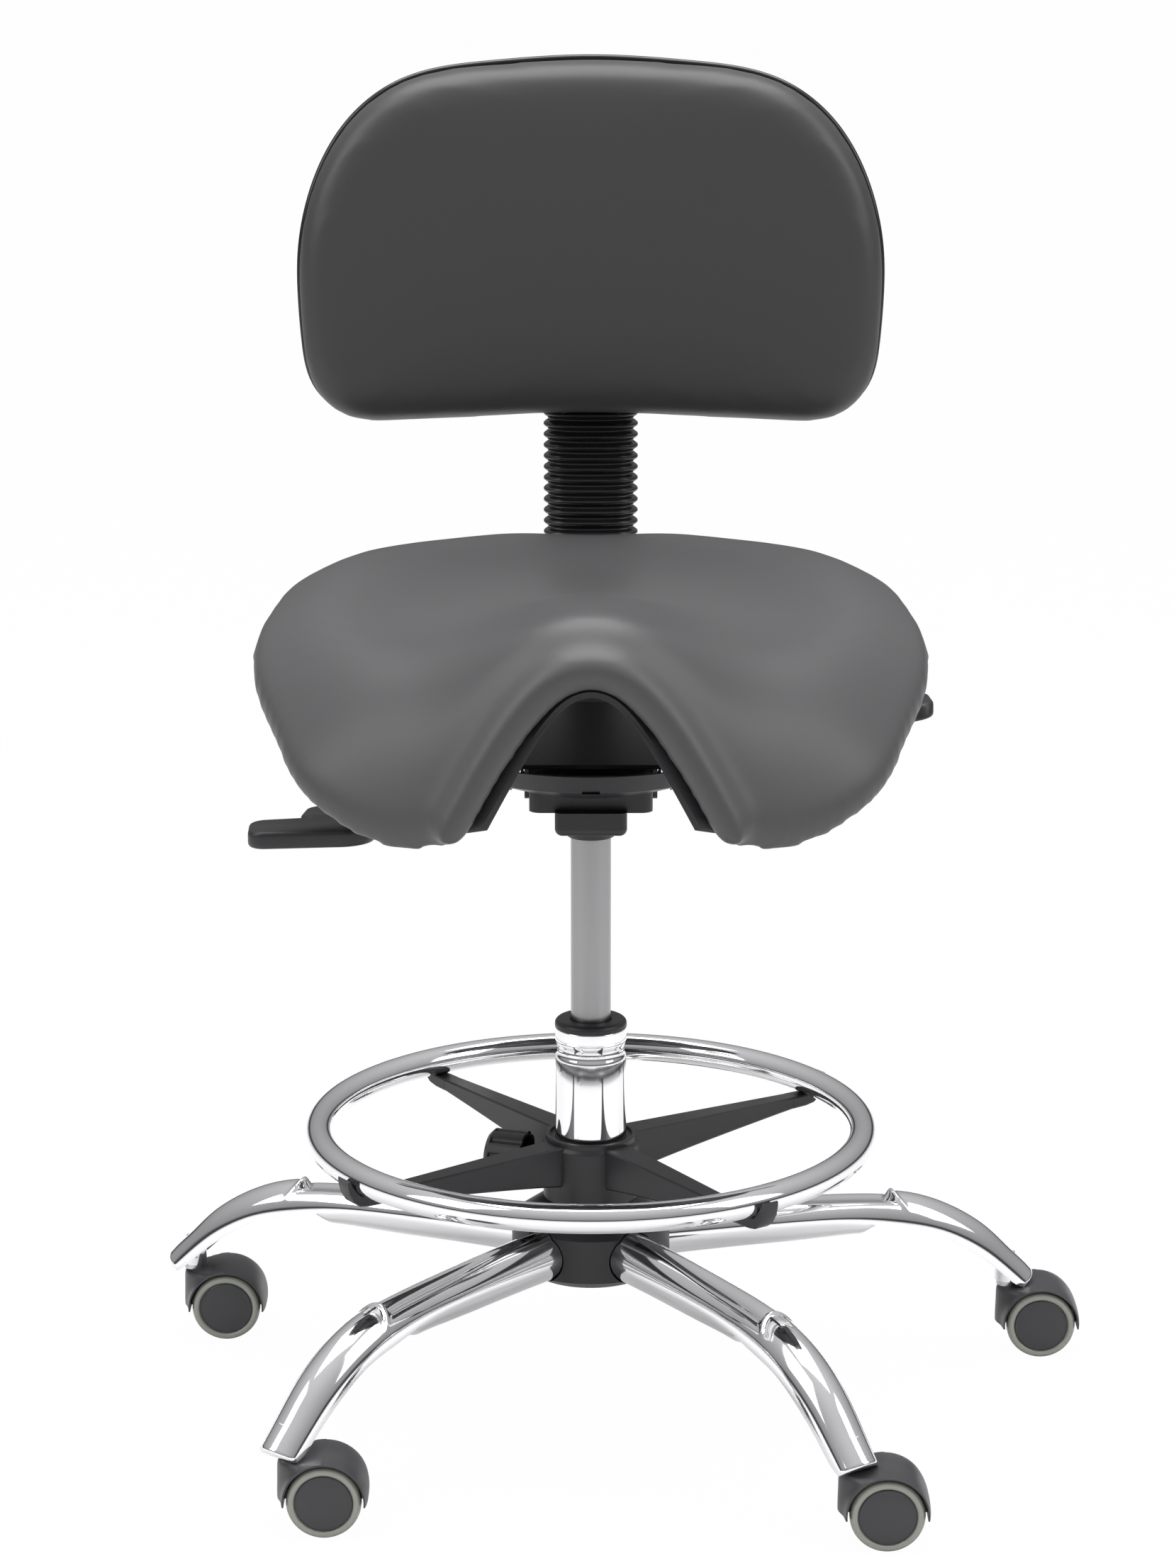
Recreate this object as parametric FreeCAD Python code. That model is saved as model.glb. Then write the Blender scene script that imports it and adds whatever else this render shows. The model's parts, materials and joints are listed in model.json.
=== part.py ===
"""Saddle stool with a backrest, a foot ring and a five-leg base on castors.

Millimetres, Z up. The origin is on the floor, on the axis of the column.
The sitter faces -Y, and the levers of height and tilt are on the -X side.
"""
import FreeCAD
import Part
import math
import os

from FreeCAD import Matrix, Placement, Rotation, Vector

# fits
running_gap = 0.05
part_gap = 0.3

# castors
leg_count = 5
base_turn = -3.4
castor_inset = 13.5
wheel_diameter = 50.0
wheel_width = 15.5
tread_depth = 5.8
wheel_side_gap = 0.4
castor_trail = 24.0
castor_axle_diameter = 6.0
castor_stem_diameter = 11.0
stem_engagement = 20.0
stem_flange_height = 3.7
stem_flange_margin = 2.0
stem_foot_depth = 18.0
web_wall = 1.5
web_disc_radius = 12.0
hood_top = 50.0
hood_crown = 3.6
hood_shoulder = 2.4
hood_clearance = 1.4
hood_tip_drop = 2.5
hood_nose = 31.5
hood_edge_chamfer = 2.0

# base
hub_radius = 56.0
hub_bottom = 92.0
hub_shoulder = 131.0
hub_top = 147.0
leg_root_radius = 38.0
leg_root_height = 115.5
leg_tube_radius = 18.0
leg_reach = 328.5
leg_wall = 2.2
leg_pocket_gap = 0.6
socket_diameter = 17.5

# column and gas lift
column_diameter = 50.0
column_wall = 2.0
column_bottom = 86.0
column_top = 272.0
column_floor = 4.0
groove_height = 256.0
groove_half_width = 5.0
groove_depth = 1.3
bush_flange_height = 6.0
bush_length = 92.0
cylinder_diameter = 28.0
cylinder_wall = 2.5
cylinder_bottom = 225.0
cylinder_head = 40.0
cone_length = 33.0
cone_taper = 0.8
rod_diameter = 10.0
piston_length = 14.0
rod_top = 275.0
bearing_radius = 13.0
bearing_height = 7.0
bearing_washer = 1.8
rod_clip_radius = 8.0
rod_clip_thickness = 1.5
valve_pin_diameter = 6.0
valve_pin_proud = 6.7

# foot ring
ring_height = 197.0
ring_radius = 192.0
ring_tube_diameter = 20.0
ring_flats = 16
spider_turn = 35.5
spider_arm_count = 4
spider_hub_radius = 34.0
spider_hub_top = 193.6
spider_arm_width = 19.0
spider_tip_width = 13.0
spider_tip_depth = 9.0
spider_arm_wall = 3.5
spider_hook_reach = 15.0
spider_hook_rise = 6.0
knob_angle = 162.0
knob_height = 168.0
knob_diameter = 40.0
knob_length = 27.0
knob_wall = 3.5
knob_start = 48.0
knob_flutes = 10
clamp_boss_radius = 9.5
clamp_screw_diameter = 8.0

# mechanism
housing_half_width = 42.0
housing_front = -70.0
housing_rear = 95.0
housing_top = 470.0
keel_half_width = 24.5
keel_front = -80.0
keel_bottom = 429.5
keel_top = 446.0
keel_rounding = 5.0
neck_bottom = 410.5
neck_wall = 2.4
tilt_pin_y = -40.0
tilt_pin_height = 461.0
hinge_pin_diameter = 10.0
back_pin_y = 84.0
back_pin_height = 456.0
lever_height = 452.0
lever_rod_diameter = 8.0
trunnion_x = 34.0
trunnion_half_length = 9.0
lever_slot_gap = 1.2
height_lever_y = 0.0
tilt_lever_y = 46.0
cover_half_width = 108.0
cover_half_length = 116.0
cover_depth = 33.0
cover_wall = 3.0
cover_slot_width = 12.0
cover_slot_height = 4.0
plate_bottom = 480.0
plate_thickness = 3.0
plate_half_width = 84.0
plate_front = -92.0
plate_rear = 98.0
plate_corner = 14.0
ear_thickness = 3.0
ear_half_length = 13.0

# levers
paddle_thickness = 12.0
paddle_half_width = 21.0
paddle_hub_radius = 24.0
paddle_hub_drop = 6.0

# saddle
cushion_thickness = 32.2
shell_gap = 2.2
shell_thickness = 5.0
shell_inset = 10.0
boss_radius = 11.0
boss_x = 58.0
boss_front_y = -62.0
boss_rear_y = 70.0
seat_screw_diameter = 8.0
seat_screw_head = 14.0

# backrest
bar_y = 216.0
bar_width = 40.0
bar_thickness = 8.0
bar_bend_radius = 36.0
bar_top = 800.0
bellows_half_width = 34.0
bellows_half_depth = 18.0
bellows_bottom = 573.0
bellows_pitch = 8.0
bellows_ribs = 13
bellows_rib_depth = 3.0
back_bottom = 677.0
back_top = 931.0
back_half_width = 207.0
back_lower_corner = 46.0
back_upper_corner = 93.0
back_upper_corner_drop = 100.0
back_front = 156.0
back_curve_radius = 1000.0
back_cushion_thickness = 36.0
back_edge_rounding = 14.0
back_shell_thickness = 5.0
back_shell_inset = 3.0
piping_width = 4.0
piping_proud = 1.5
guide_height = 118.0
guide_half_width = 36.0
guide_wall = 6.0
guide_screw_diameter = 6.0

X = Vector(1, 0, 0)
Y = Vector(0, 1, 0)
Z = Vector(0, 0, 1)

wheel_radius = wheel_diameter / 2
castor_circle_radius = leg_reach - castor_inset
stem_radius = castor_stem_diameter / 2
web_half = stem_radius + running_gap + web_wall
wheel_inner_face = web_half + wheel_side_gap
wheel_outer_face = wheel_inner_face + wheel_width
axle_radius = castor_axle_diameter / 2
stem_top = hood_top + part_gap + stem_flange_height + stem_engagement
socket_bottom = hood_top + part_gap + stem_flange_height
column_radius = column_diameter / 2
cylinder_radius = cylinder_diameter / 2
cone_bottom = neck_bottom - 2.5
cone_top = cone_bottom + cone_length
valve_pin_top = cone_top + valve_pin_proud
rod_radius = rod_diameter / 2
ring_tube_radius = ring_tube_diameter / 2
spider_hub_bottom = hub_top + part_gap
plate_top = plate_bottom + plate_thickness
lever_radius = lever_rod_diameter / 2
pin_radius = hinge_pin_diameter / 2
cavity_floor = cone_top
bellows_top = bellows_bottom + bellows_pitch * bellows_ribs
guide_bottom = bellows_top + part_gap
back_rear = back_front + back_cushion_thickness + piping_width + back_shell_thickness


def save(name, *solids):
    """One STEP per sub-part; like pieces of one kind share a file."""
    shape = solids[0] if len(solids) == 1 else Part.makeCompound(list(solids))
    shape.exportStep("parts/" + name + ".step")


def cylinder(radius, start, end):
    run = end - start
    return Part.makeCylinder(radius, run.Length, start, run)


def box(x0, x1, y0, y1, z0, z1):
    return Part.makeBox(x1 - x0, y1 - y0, z1 - z0, Vector(x0, y0, z0))


def turned(profile, centre=Vector(), axis=Z):
    """Solid of revolution from (radius, height) points about an axis."""
    points = [Vector(r, 0, h) for r, h in profile]
    face = Part.Face(Part.makePolygon(points + points[:1]))
    solid = face.revolve(Vector(), Z, 360)
    solid.Placement = Placement(centre, Rotation(Z, axis))
    return solid


def about_column(shape, degrees):
    return shape.rotated(Vector(), Z, degrees)


def arc(start, middle, end):
    return Part.Arc(start, middle, end).toShape()


def outline_prism(points, run):
    return Part.Face(Part.makePolygon(points + points[:1])).extrude(run)


def joined(solids):
    """Joins the stretches of one moulded, bent or welded piece."""
    whole = solids[0]
    for solid in solids[1:]:
        whole = whole.fuse(solid)
    return whole.removeSplitter()


def bent_rod(points, radius):
    """A bent rod: straight runs with a ball at each bend."""
    runs = [cylinder(radius, a, b) for a, b in zip(points, points[1:])]
    bends = [Part.makeSphere(radius, p) for p in points[1:-1]]
    return joined(runs + bends)


def leg_angle(index):
    return 90 + base_turn + index * 360 / leg_count


def curve(*poles):
    line = Part.BezierCurve()
    line.setPoles(list(poles))
    return line.toShape()


def bow(start, middle, end):
    """Even curve from start to end that passes through the middle point."""
    return curve(start, middle * 2 - (start + end) * 0.5, end)


def oval(centre, across, up, rise, drop):
    """Closed oval of four quarters, with its widest line through the centre."""
    round_pull = 0.5523
    quarters = []
    for side, tall in ((1, up * rise), (-1, up * rise), (-1, up * -drop), (1, up * -drop)):
        wide = across * side
        ends = [centre + wide, centre + wide + tall * round_pull, centre + tall + wide * round_pull,
                centre + tall]
        if side * tall.dot(up) < 0:
            ends.reverse()
        quarters.append(curve(*ends))
    return Part.Wire(quarters)


def leg_loft(stations):
    """Loft along a leg that lies over +X, from its (radius, height, lean, half width, rise, drop)."""
    wires = []
    for radius, height, lean, half_width, rise, drop in stations:
        lean = math.radians(lean)
        up = Vector(math.sin(lean), 0, math.cos(lean))
        wires.append(oval(Vector(radius, 0, height), Y * half_width, up, rise, drop))
    return Part.makeLoft(wires, True, True)


def base_leg():
    """Pressed leg: a round tube at the hub, scooped on top, that opens into a shell at its tip."""
    tube = leg_tube_radius
    root = leg_root_height
    tip = leg_reach
    outside = [
        (leg_root_radius, root, 0, tube, tube, tube),
        (tip - 168, root + 1.5, 0, tube - 0.5, tube - 3, tube - 0.5),
        (tip - 108, root - 10, 8, tube, tube + 7, tube - 12),
        (tip - 76, root - 18, 26, tube, tube + 5.5, tube - 15),
        (tip - 44, root - 34.5, 39, tube - 0.5, tube + 2, tube - 15.5),
        (tip - 18, root - 54, 45, tube - 1.5, tube - 1, tube - 16),
        (tip, root - 62, 48, tube - 4, tube - 10, tube - 17.4),
    ]
    opening = [(r, z, lean, w - leg_wall, rise - leg_wall, 2 * tube)
               for r, z, lean, w, rise, _ in outside[3:-1]]
    opening.insert(0, (tip - 120, root - 12, 6, tube - 7, tube / 2, 2 * tube))
    top = root + tube
    scoop = [(tip - 256, top, 0, 5, 12, 0.8), (tip - 130, top - 2.5, 2, 13, 14, 6.5),
             (tip - 94, top - 5, 8, 14, 16, 7.5)]
    tongue = cylinder(tube - 1, Vector(tip - 88, 0, root), Vector(tip - 88, 0, top + tube))
    bore = cylinder(stem_radius + part_gap, Vector(castor_circle_radius, 0, socket_bottom),
                    Vector(castor_circle_radius, 0, stem_top + 2 * part_gap))
    return leg_loft(outside).cut(leg_loft(scoop).cut(tongue)).cut(leg_loft(opening)).cut(bore)


def base_hub():
    """Moulded hub with a bore for the column and a pocket for each leg."""
    flat = hub_radius - 14
    solid = turned([(column_radius, hub_bottom), (flat, hub_bottom), (hub_radius, hub_bottom + 8),
                    (hub_radius, hub_shoulder), (spider_hub_radius - 1, hub_top), (column_radius, hub_top)])
    for index in range(leg_count):
        pocket = cylinder(leg_tube_radius + leg_pocket_gap, Vector(leg_root_radius, 0, leg_root_height),
                          Vector(hub_radius + 10, 0, leg_root_height))
        solid = solid.cut(about_column(pocket, leg_angle(index)))
    return solid


def castor_socket(leg):
    """Sleeve welded inside the leg tip, trimmed to the shell it meets."""
    foot = Vector(castor_circle_radius, 0, socket_bottom)
    sleeve = cylinder(socket_diameter / 2, foot, foot + Z * 3 * stem_engagement)
    bore = cylinder(stem_radius + running_gap, foot, foot + Z * (stem_engagement + 1))
    pieces = sleeve.cut(bore).cut(leg).Solids
    return min(pieces, key=lambda piece: piece.BoundBox.ZMin)


def castor_stem():
    foot = hood_top - stem_foot_depth
    flange = stem_radius + stem_flange_margin
    seat = hood_top + part_gap
    centre = Vector(castor_circle_radius, 0, 0)
    return turned([(0, foot), (stem_radius, foot), (stem_radius, seat), (flange, seat),
                   (flange, socket_bottom), (stem_radius, socket_bottom), (stem_radius, stem_top),
                   (0, stem_top)], centre)


def castor_hood():
    """Hood over both wheels, with the web between them; the axle's middle is at the origin."""
    side = wheel_outer_face - 0.5
    inner = wheel_radius + hood_clearance
    edge = wheel_radius + hood_shoulder
    crown = wheel_radius + hood_crown
    flat = side * 0.45
    cap = turned([(0, -side), (edge, -side), (crown, -flat), (crown, flat), (edge, side), (0, side)],
                 Vector(), Y)
    nose_top = hood_top - wheel_radius
    start = Vector(-castor_trail + 8, -side, -hood_tip_drop)
    end = Vector(start.x, side, start.z)
    tip = Vector(-hood_nose, 0, start.z)
    inside = Vector(0, -side, start.z)
    across = Vector(0, side, start.z)
    plan = Part.Wire([arc(start, tip, end), Part.makeLine(end, across), Part.makeLine(across, inside),
                      Part.makeLine(inside, start)])
    nose = Part.Face(plan).extrude(Z * (nose_top + hood_tip_drop))
    rounded = [e for e in nose.Edges if e.BoundBox.ZMin > nose_top - 0.1 and e.BoundBox.XMin < -castor_trail]
    nose = nose.makeChamfer(hood_edge_chamfer, rounded)
    body = cap.fuse(nose)
    reach = hood_nose + 10
    body = body.cut(box(-reach, reach, -reach, reach, -reach, -hood_tip_drop))
    body = body.fuse(cylinder(web_disc_radius, Y * -web_half, Y * web_half))
    for face in (-1, 1):
        well = cylinder(inner, Y * face * web_half, Y * face * (side + 10))
        body = body.cut(well)
    foot = Vector(-castor_trail, 0, nose_top - stem_foot_depth - part_gap)
    body = body.cut(cylinder(stem_radius + running_gap, foot, foot + Z * (stem_foot_depth + 10)))
    return body.cut(cylinder(axle_radius, Y * -reach, Y * reach)).removeSplitter()


def castor_axle():
    half = wheel_outer_face - 3
    return cylinder(axle_radius, Y * -half, Y * half)


def castor_wheel(side):
    """Nylon core and the soft tread moulded round it; side is +1 or -1 along the axle."""
    core = wheel_radius - tread_depth
    bore = axle_radius + running_gap
    inner = wheel_inner_face
    outer = wheel_outer_face
    end = outer - 3 + part_gap
    return turned([(bore, inner), (wheel_radius - 1, inner), (wheel_radius, inner + 1),
                   (wheel_radius, outer - 2.5), (wheel_radius - 2.4, outer - 0.3), (core, outer - 1.2),
                   (0, outer), (0, end), (bore, end)], Vector(), Y * side)


def legs_and_castors():
    """The five legs with their castors; every castor trails towards +X."""
    leg = base_leg()
    socket = castor_socket(leg)
    stem = castor_stem()
    hood = castor_hood()
    axle = castor_axle()
    front_wheel = castor_wheel(-1)
    rear_wheel = castor_wheel(1)
    stems, sockets = [], []
    for index in range(leg_count):
        turn = leg_angle(index)
        save("base_leg_%d" % (index + 1), about_column(leg, turn))
        sockets.append(about_column(socket, turn))
        stems.append(about_column(stem, turn))
        place = Rotation(Z, turn).multVec(Vector(castor_circle_radius, 0, wheel_radius)) + X * castor_trail
        name = "castor_%d_" % (index + 1)
        save(name + "hood", hood.translated(place))
        save(name + "axle", axle.translated(place))
        save(name + "wheel_front", front_wheel.translated(place))
        save(name + "wheel_rear", rear_wheel.translated(place))
    save("castor_sockets", *sockets)
    save("castor_stems", *stems)


def column_tube():
    outer = column_radius
    inner = outer - column_wall
    rod = rod_radius + running_gap
    low, high = groove_height - groove_half_width, groove_height + groove_half_width
    tube = turned([(rod, column_bottom), (outer - 0.6, column_bottom), (outer - 0.6, hub_bottom - 1),
                   (outer, hub_bottom), (outer, low), (outer - groove_depth, low + 3),
                   (outer - groove_depth, high - 3), (outer, high), (outer, column_top - 1),
                   (outer - 1, column_top), (inner, column_top), (inner, column_bottom + column_floor),
                   (rod, column_bottom + column_floor)])
    return tube


def guide_bush():
    """Plastic sleeve pressed into the column; its flange is the black collar on top."""
    bore = cylinder_radius + running_gap
    sleeve = column_radius - column_wall
    bottom = column_top - bush_length
    top = column_top + bush_flange_height
    return turned([(bore, bottom), (sleeve, bottom), (sleeve, column_top), (column_radius - 0.4, column_top),
                   (column_radius - 0.4, top - 2), (column_radius - 2, top), (bore + 1.5, top),
                   (bore, top - 1.5)])


def thrust_bearing():
    """Two washers with the narrower cage of balls between them, under the rod's shoulder."""
    floor = column_bottom + column_floor
    bore = rod_radius + running_gap
    low = floor + bearing_washer
    high = floor + bearing_height - bearing_washer
    cage = bearing_radius - 1
    return turned([(bore, floor), (bearing_radius, floor), (bearing_radius, low), (cage, low),
                   (cage, high), (bearing_radius, high), (bearing_radius, floor + bearing_height),
                   (bore, floor + bearing_height)])


def piston_rod():
    seat = column_bottom + column_floor + bearing_height + part_gap / 3
    shoulder = rod_radius + 3
    foot = column_bottom - 3.5
    head = cylinder_radius - cylinder_wall - running_gap
    neck = rod_clip_radius / 2 + 0.2
    clip = column_bottom - part_gap / 3 - rod_clip_thickness
    return turned([(0, foot), (rod_radius, foot), (rod_radius, clip), (neck, clip),
                   (neck, clip + rod_clip_thickness), (rod_radius, clip + rod_clip_thickness),
                   (rod_radius, seat), (shoulder, seat), (shoulder, seat + 4), (rod_radius, seat + 5),
                   (rod_radius, rod_top - piston_length), (head, rod_top - piston_length),
                   (head, rod_top), (0, rod_top)])


def rod_clip():
    """Spring clip in the rod's groove, open on one side."""
    neck = rod_clip_radius / 2 + 0.2
    bottom = column_bottom - part_gap / 3 - rod_clip_thickness
    ring = turned([(neck, bottom), (rod_clip_radius, bottom), (rod_clip_radius, bottom + rod_clip_thickness),
                   (neck, bottom + rod_clip_thickness)])
    return ring.cut(box(0, 2 * rod_clip_radius, -neck * 0.8, neck * 0.8, bottom - 1, column_bottom))


def gas_cylinder():
    bore = cylinder_radius - cylinder_wall
    seal = rod_radius + running_gap
    pin = valve_pin_diameter / 2 + running_gap
    inside_top = cone_bottom - cylinder_head + 30
    top_radius = cylinder_radius - cone_taper
    solid = turned([(seal, cylinder_bottom), (cylinder_radius - 2, cylinder_bottom),
                    (cylinder_radius, cylinder_bottom + 2), (cylinder_radius, cone_bottom),
                    (top_radius, cone_top), (pin, cone_top), (pin, inside_top + 6), (bore, inside_top),
                    (bore, cylinder_bottom + 14), (seal, cylinder_bottom + 14)])
    return solid


def valve_pin():
    radius = valve_pin_diameter / 2
    foot = cone_top - 20
    return turned([(0, foot), (radius, foot), (radius, valve_pin_top - 1), (radius - 1, valve_pin_top),
                   (0, valve_pin_top)])


def spider_arm():
    """Tapered channel arm over +X that ends in a hooked saddle under the ring."""
    ring_under = ring_height - ring_tube_radius
    tip = ring_radius + spider_hook_reach
    root = column_radius + 4
    top = spider_hub_top - 2.5

    def section(x, half, low, high):
        return Part.makePolygon([Vector(x, -half, low), Vector(x, half, low), Vector(x, half, high),
                                 Vector(x, -half, high), Vector(x, -half, low)])

    def taper(side_wall, roof, below):
        wires = [section(root, spider_arm_width / 2 - side_wall, spider_hub_bottom - below, top - roof),
                 section(ring_radius - 22, spider_tip_width / 2 - side_wall,
                         ring_under - spider_tip_depth - below, ring_under - roof)]
        return Part.makeLoft(wires, True, True)

    arm = taper(0, 0, 0).cut(taper(spider_arm_wall, spider_arm_wall + 1, 5))
    half = spider_tip_width / 2
    saddle = box(ring_radius - 22, tip, -half, half, ring_under - spider_tip_depth,
                 ring_under + spider_hook_rise)
    corner = outline_prism([Vector(tip + 1, -half - 1, ring_under - spider_tip_depth - 1),
                            Vector(tip - 9, -half - 1, ring_under - spider_tip_depth - 1),
                            Vector(tip + 1, -half - 1, ring_under - 1)], Y * (2 * half + 2))
    inner = box(ring_radius - 23, ring_radius, -half - 1, half + 1, ring_under, ring_under + 20)
    groove = Part.makeTorus(ring_radius, ring_tube_radius + part_gap / 6, Vector(0, 0, ring_height), Z)
    return arm.fuse(saddle.cut(corner).cut(inner)).cut(groove)


def foot_ring_spider():
    """Moulded carrier: a sleeve on the column, the arms, and the boss of the clamp screw."""
    bore = column_radius + part_gap
    outer = spider_hub_radius
    sleeve = turned([(column_radius - 5, spider_hub_bottom), (outer, spider_hub_bottom),
                     (outer, spider_hub_top - 6), (outer - 2, spider_hub_top - 4),
                     (outer - 2, spider_hub_top), (outer - 5, spider_hub_top),
                     (outer - 5, spider_hub_top - 2.5), (column_radius - 5, spider_hub_top - 2.5)])
    body = sleeve
    for index in range(spider_arm_count):
        body = body.fuse(about_column(spider_arm(), spider_turn + index * 360 / spider_arm_count))
    boss = cylinder(clamp_boss_radius, Vector(column_radius, 0, knob_height),
                    Vector(knob_start - 6, 0, knob_height))
    body = body.fuse(about_column(boss, knob_angle))
    screw = cylinder(clamp_screw_diameter / 2 + running_gap, Vector(0, 0, knob_height),
                     Vector(knob_start, 0, knob_height))
    body = body.cut(about_column(screw, knob_angle))
    shaft = cylinder(bore, Vector(0, 0, spider_hub_bottom - 5), Vector(0, 0, spider_hub_top + 5))
    return body.cut(shaft).removeSplitter()


def clamp_screw():
    tip = column_radius + part_gap
    start = Vector(tip, 0, knob_height)
    screw = cylinder(clamp_screw_diameter / 2, start, Vector(knob_start + knob_length - 8, 0, knob_height))
    return about_column(screw, knob_angle)


def foot_ring_knob():
    """Fluted cup knob, open towards the hub, moulded on the clamp screw."""
    radius = knob_diameter / 2
    inner = radius - knob_wall
    stub = clamp_screw_diameter / 2 + 4
    hole = clamp_screw_diameter / 2
    depth = knob_length - knob_wall
    cup = turned([(hole, 2), (stub, 2), (stub, depth), (inner, depth), (inner, 0), (radius, 0),
                  (radius, knob_length - 3), (radius - 3, knob_length), (0, knob_length),
                  (0, knob_length - 8), (hole, knob_length - 8)])
    flute_radius = 3.2
    for index in range(knob_flutes):
        turn = index * 360 / knob_flutes
        flute = cylinder(flute_radius, Vector(radius + 1.6, 0, -1), Vector(radius + 1.6, 0, knob_length - 4))
        cup = cup.cut(flute.rotated(Vector(), Z, turn))
    cup.Placement = Placement(Vector(knob_start, 0, knob_height), Rotation(Z, X))
    return about_column(cup, knob_angle)


def rod_slot(side, lever_y, inner_x):
    """Open-topped slot in the housing wall, with the blind bores of the rod's trunnion."""
    half = lever_radius + lever_slot_gap
    low = lever_height - lever_radius - 5
    ends = sorted((side * inner_x, side * (housing_half_width + 5)))
    slot = box(ends[0], ends[1], lever_y - half, lever_y + half, low, housing_top + 5)
    pivot = Vector(side * trunnion_x, lever_y, lever_height)
    reach = trunnion_half_length + part_gap
    return slot.fuse(cylinder(lever_radius + running_gap, pivot - Y * reach, pivot + Y * reach))


def mechanism_housing():
    """Cast box that clamps on the cylinder's cone; keel below, pin bores across, rod slots above."""
    upper = box(-housing_half_width, housing_half_width, housing_front, housing_rear, keel_top - 2,
                housing_top)
    upright = [e for e in upper.Edges if e.BoundBox.ZLength > housing_top - keel_top]
    upper = upper.makeFillet(8, upright)
    keel = box(-keel_half_width, keel_half_width, keel_front, housing_rear - 20, keel_bottom, keel_top)
    soft = [e for e in keel.Edges if e.BoundBox.ZMax < keel_bottom + 0.1 or
            (e.BoundBox.ZLength > 5 and e.BoundBox.YMax < keel_front + 0.1)]
    keel = keel.makeFillet(keel_rounding, soft)
    neck_radius = cylinder_radius + neck_wall
    neck = turned([(0, neck_bottom), (neck_radius, neck_bottom), (neck_radius + 2.5, neck_bottom + 9),
                   (neck_radius + 5, keel_bottom + 1), (0, keel_bottom + 1)])
    body = upper.fuse(keel).fuse(neck)
    cone = Part.makeCone(cylinder_radius, cylinder_radius - cone_taper, cone_length,
                         Vector(0, 0, cone_bottom), Z)
    body = body.cut(cone)
    half = lever_radius + 6
    body = body.cut(box(-half - 4, half + 4, -half, half, cavity_floor, housing_top + 5))
    body = body.cut(rod_slot(-1, height_lever_y, 0))
    body = body.cut(rod_slot(-1, tilt_lever_y, trunnion_x - 12))
    body = body.cut(rod_slot(1, tilt_lever_y, trunnion_x - 12))
    for y, z in ((tilt_pin_y, tilt_pin_height), (back_pin_y, back_pin_height)):
        body = body.cut(cylinder(pin_radius, Vector(-80, y, z), Vector(80, y, z)))
    notch = pin_radius + 6
    notch_half = bar_width / 2 + part_gap
    body = body.cut(box(-notch_half, notch_half, back_pin_y - notch - 8, housing_rear + 5,
                        keel_top - 30, housing_top + 5))
    return body.removeSplitter()


def hinge_pin(y, z, half):
    """Pin with a thin head at each end."""
    body = cylinder(pin_radius, Vector(-half, y, z), Vector(half, y, z))
    heads = [cylinder(pin_radius + 2, Vector(s * half, y, z), Vector(s * (half + 2), y, z)) for s in (-1, 1)]
    return joined([body] + heads)


def seat_plate():
    """Pressed steel plate with two ears that turn on the tilt pin."""
    plate = box(-plate_half_width, plate_half_width, plate_front, plate_rear, plate_bottom, plate_top)
    corners = [e for e in plate.Edges if e.BoundBox.ZLength > plate_thickness - 0.1]
    plate = plate.makeFillet(plate_corner, corners)
    inner = housing_half_width + part_gap
    for side in (-1, 1):
        ends = sorted((side * inner, side * (inner + ear_thickness)))
        low = tilt_pin_height - ear_half_length
        ear = box(ends[0], ends[1], tilt_pin_y - ear_half_length, tilt_pin_y + ear_half_length, low,
                  plate_bottom)
        under = [e for e in ear.Edges if e.BoundBox.ZMax < low + 0.1 and e.BoundBox.XLength > 1]
        plate = plate.fuse(ear.makeFillet(ear_half_length * 0.7, under))
    hole = cylinder(pin_radius + running_gap, Vector(-80, tilt_pin_y, tilt_pin_height),
                    Vector(80, tilt_pin_y, tilt_pin_height))
    plate = plate.cut(hole)
    for x, y in screw_places():
        plate = plate.cut(cylinder(seat_screw_diameter / 2 + 0.5, Vector(x, y, plate_bottom - 5),
                                   Vector(x, y, plate_top + 5)))
    return plate.removeSplitter()


def screw_places():
    return [(x, y) for x in (-boss_x, boss_x) for y in (boss_front_y, boss_rear_y)]


def mechanism_cover():
    """Shallow bowl under the plate, open where the housing and the back bar come through."""
    def bowl(inset):
        rims = []
        for turn in (90, 66, 42, 20):
            share = math.sin(math.radians(turn))
            depth = (cover_depth - inset) * math.cos(math.radians(turn))
            half = cover_half_length - inset
            rims.append(oval(Vector(0, 0, -depth), X * (cover_half_width - inset) * share, Y,
                             half * share, half * share))
        return Part.makeLoft(rims, True, True)

    shell = bowl(0).cut(bowl(cover_wall))
    shell.translate(Vector(0, 0, plate_bottom))
    gap = housing_half_width + 12
    shell = shell.cut(box(-gap, gap, keel_front - 2, 200, plate_bottom - 100, plate_bottom + 10))
    low_notch = (gap + 24, 12)
    rising_notch = (cover_half_width + 5, 1.6)
    for side, y, (reach, roof) in ((-1, height_lever_y, low_notch), (-1, tilt_lever_y, low_notch),
                                   (1, tilt_lever_y, rising_notch)):
        ends = sorted((side * (gap - 5), side * reach))
        shell = shell.cut(box(ends[0], ends[1], y - 13, y + 19, plate_bottom - 100, plate_bottom - roof))
    slot = cover_slot_width / 2
    middle = plate_bottom - cover_depth * 0.45
    shell = shell.cut(box(-slot, slot, -200, keel_front, middle, middle + cover_slot_height))
    for x, y in screw_places():
        shell = shell.cut(cylinder(seat_screw_head / 2 + 1, Vector(x, y, plate_bottom - 60),
                                   Vector(x, y, plate_bottom + 5)))
    return max(shell.Solids, key=lambda piece: piece.Volume)


def lever_rod(points, lever_y, side):
    pivot = Vector(side * trunnion_x, lever_y, lever_height)
    trunnion = cylinder(lever_radius, pivot - Y * trunnion_half_length, pivot + Y * trunnion_half_length)
    return joined([bent_rod(points, lever_radius), trunnion])


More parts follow.
